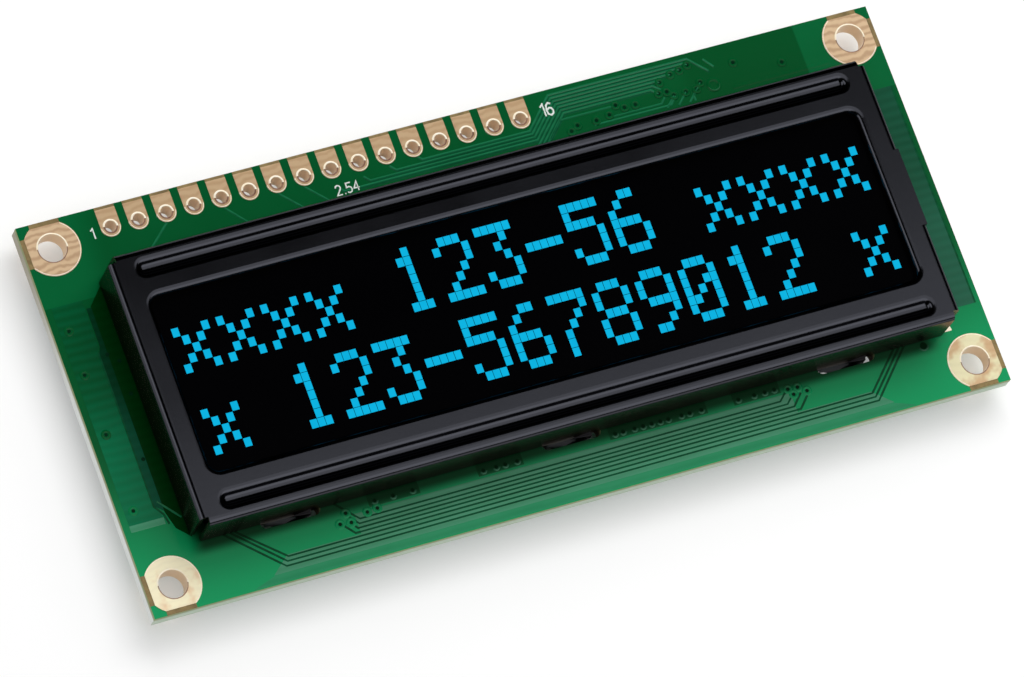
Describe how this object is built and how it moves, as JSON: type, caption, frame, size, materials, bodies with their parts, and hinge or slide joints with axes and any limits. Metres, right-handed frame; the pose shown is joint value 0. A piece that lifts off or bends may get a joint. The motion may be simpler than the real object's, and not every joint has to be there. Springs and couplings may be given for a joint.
{
  "type": "character oled module",
  "caption": "Flat character display module: black stamped bezel with a dark window and light-blue dot characters on a green circuit board with mounting holes and a header row.",
  "frame": {"origin": "under the middle of the circuit board, on the surface that the bezel's tabs stand on", "axes": "+X along the board's long side, +Y towards the header row, +Z out of the display's face"},
  "size_m": [0.08, 0.036, 0.0075],
  "materials": {
    "board_green": "glossy solder mask over copper",
    "bare_laminate": "cut glass-fibre edge",
    "gold_plate": "thin gold plating, satin",
    "bare_copper": "bare copper, dull",
    "black_steel": "semi-gloss black coating on steel",
    "dark_film": "smooth dark film",
    "display_glass": "clear glass",
    "lit_emitter": "lit, light blue",
    "black_foam": "matt foam",
    "amber_foil": "amber polyimide foil",
    "silicon": "polished chip",
    "black_epoxy": "smooth cured epoxy",
    "ferrite": "grey ferrite",
    "enamelled_wire": "enamelled copper wire",
    "moulded_black": "moulded epoxy, matt",
    "tinned_metal": "tin, satin",
    "capacitor_ceramic": "fired ceramic, tan",
    "white_ink": "screen-printed ink"
  },
  "bodies": {
    "root": {"circuit_board": "board_green", "mounting_lands": "gold_plate", "header_lands": "gold_plate", "earth_land": "bare_copper", "bezel": "black_steel", "polariser": "dark_film", "front_glass": "display_glass", "cover_glass": "display_glass", "emitter_cells": "lit_emitter", "foam_pad": "black_foam", "flex_tail": "amber_foil", "controller_die": "silicon", "epoxy_glob": "black_epoxy", "inductor_core": "ferrite", "inductor_coil": "enamelled_wire", "diode_body": "moulded_black", "diode_leads": "tinned_metal", "chip_capacitors": "capacitor_ceramic", "chip_resistors": "moulded_black", "chip_terminals": "tinned_metal", "solder_fillets": "tinned_metal", "jumper_lands": "gold_plate"}
  },
  "joints": []
}
